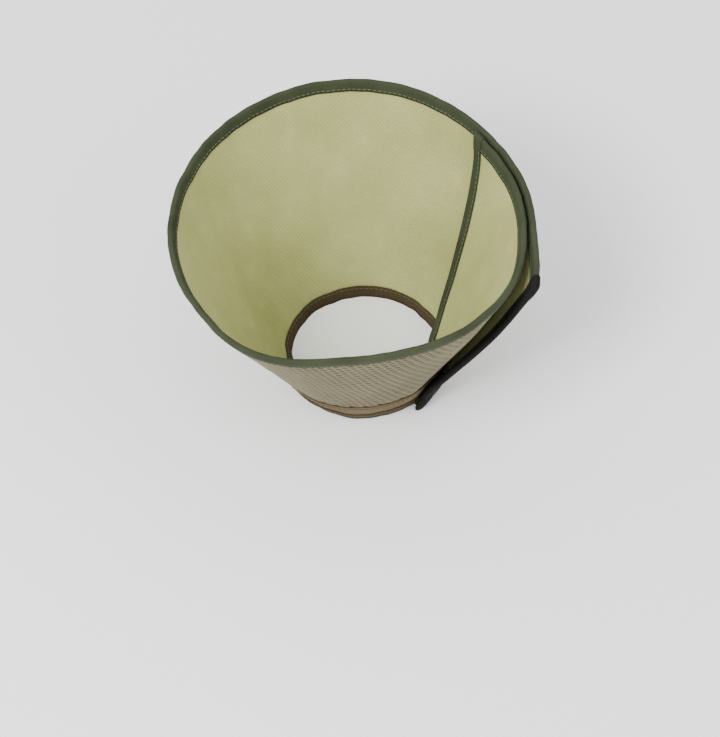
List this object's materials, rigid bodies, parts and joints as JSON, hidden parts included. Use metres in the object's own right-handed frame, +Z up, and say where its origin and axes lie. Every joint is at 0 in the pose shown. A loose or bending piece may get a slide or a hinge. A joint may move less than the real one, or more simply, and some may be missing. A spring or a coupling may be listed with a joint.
{
  "type": "mesh recovery collar",
  "caption": "Soft cone-shaped pet recovery collar of padded olive mesh with dark tape edges, closed by overlapping ends.",
  "frame": {"origin": "bottom centre of the collar's box, on the surface that its narrow end stands on", "axes": "+Z up through the wide end, +X towards the side where the ends overlap, +Y away from the side that the picture shows nearest"},
  "size_m": [0.255, 0.2552, 0.1564],
  "materials": {
    "mesh_cloth": "matt air mesh",
    "green_tape": "matt ribbed tape",
    "black_tape": "matt ribbed tape",
    "brown_tape": "matt ribbed tape",
    "band_cloth": "plain weave",
    "hook_and_loop": "matt pile"
  },
  "bodies": {
    "root": {"cone_panel": "mesh_cloth", "rim_binding": "green_tape", "flap_binding": "black_tape", "tuck_binding": "green_tape", "neck_band": "band_cloth", "neck_binding": "brown_tape", "fastener_strip": "hook_and_loop"}
  },
  "joints": []
}
